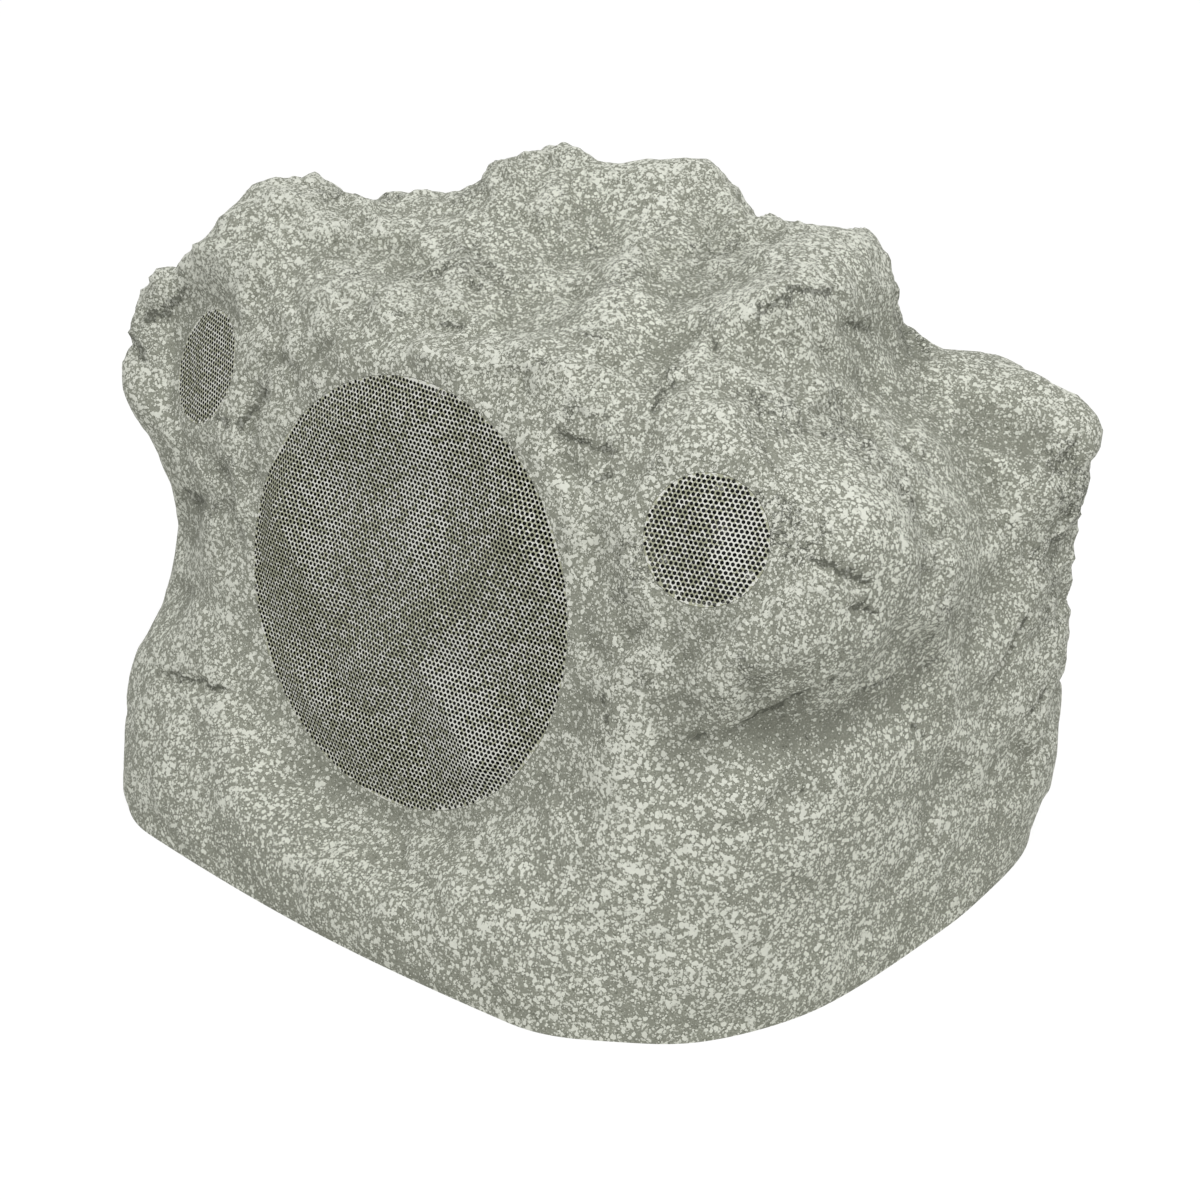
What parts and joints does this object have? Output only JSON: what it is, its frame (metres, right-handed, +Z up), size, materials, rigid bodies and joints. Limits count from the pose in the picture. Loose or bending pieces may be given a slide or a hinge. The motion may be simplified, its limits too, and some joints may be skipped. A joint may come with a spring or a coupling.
{
  "type": "rock shaped garden speaker",
  "caption": "Outdoor loudspeaker moulded as a grey garden rock, with a round woofer grille on its front, a small tweeter grille on each shoulder and a cable gland at the back.",
  "frame": {"origin": "on the ground, at the middle of the base plate's underside", "axes": "+Z up, -Y out of the front with the woofer, +X to the viewer's right when facing the front"},
  "size_m": [0.4557, 0.3821, 0.3265],
  "materials": {
    "stone_composite": "sprayed stone finish with pale and dark flakes",
    "painted_sheet": "perforated sheet painted to match the stone",
    "black_plastic": "moulded, fine matte",
    "black_rubber": "matte",
    "zinc_steel": "zinc plated",
    "painted_steel": "black powder coat",
    "ferrite": "sintered and ground",
    "cone_plastic": "moulded, satin",
    "former_sheet": "rolled sheet",
    "copper_wire": "enamelled winding",
    "spider_cloth": "pressed resin cloth",
    "dome_film": "thin formed film",
    "circuit_board": "fibre board with green lacquer",
    "component_case": "cast cases"
  },
  "bodies": {
    "enclosure": {"base_gasket": "black_rubber", "base_plate": "black_plastic", "base_screws": "zinc_steel", "cable_gland_body": "black_plastic", "cable_gland_dome_nut": "black_plastic", "cable_gland_locknut": "black_plastic", "cable_gland_seal": "black_rubber", "crossover_board": "circuit_board", "crossover_capacitors": "component_case", "crossover_inductors": "copper_wire", "crossover_resistors": "component_case", "crossover_screws": "zinc_steel", "rock_shell": "stone_composite", "tweeter_dome_left": "dome_film", "tweeter_dome_right": "dome_film", "tweeter_faceplate_left": "black_plastic", "tweeter_faceplate_right": "black_plastic", "tweeter_gasket_left": "black_rubber", "tweeter_gasket_right": "black_rubber", "tweeter_grille_left": "painted_sheet", "tweeter_grille_right": "painted_sheet", "tweeter_magnet_pot_left": "ferrite", "tweeter_magnet_pot_right": "ferrite", "tweeter_screws_left": "zinc_steel", "tweeter_screws_right": "zinc_steel", "woofer_back_plate": "zinc_steel", "woofer_frame": "painted_steel", "woofer_gasket": "black_rubber", "woofer_grille": "painted_sheet", "woofer_magnet": "ferrite", "woofer_screws": "zinc_steel", "woofer_spider": "spider_cloth", "woofer_surround": "black_rubber", "woofer_terminal_board": "black_plastic", "woofer_terminals": "zinc_steel", "woofer_top_plate": "zinc_steel"},
    "woofer_cone_assembly": {"woofer_cone": "cone_plastic", "woofer_dust_cap": "cone_plastic", "woofer_coil_former": "former_sheet", "woofer_coil_winding": "copper_wire"}
  },
  "joints": [
    {"name": "woofer_cone_travel", "type": "slide", "parent": "enclosure", "child": "woofer_cone_assembly", "axis": [0, -0.9839, 0.1788], "range_m": [-0.004, 0.004], "stiffness_N_per_m": 2000, "deforming": ["woofer_surround", "woofer_spider"]}
  ]
}
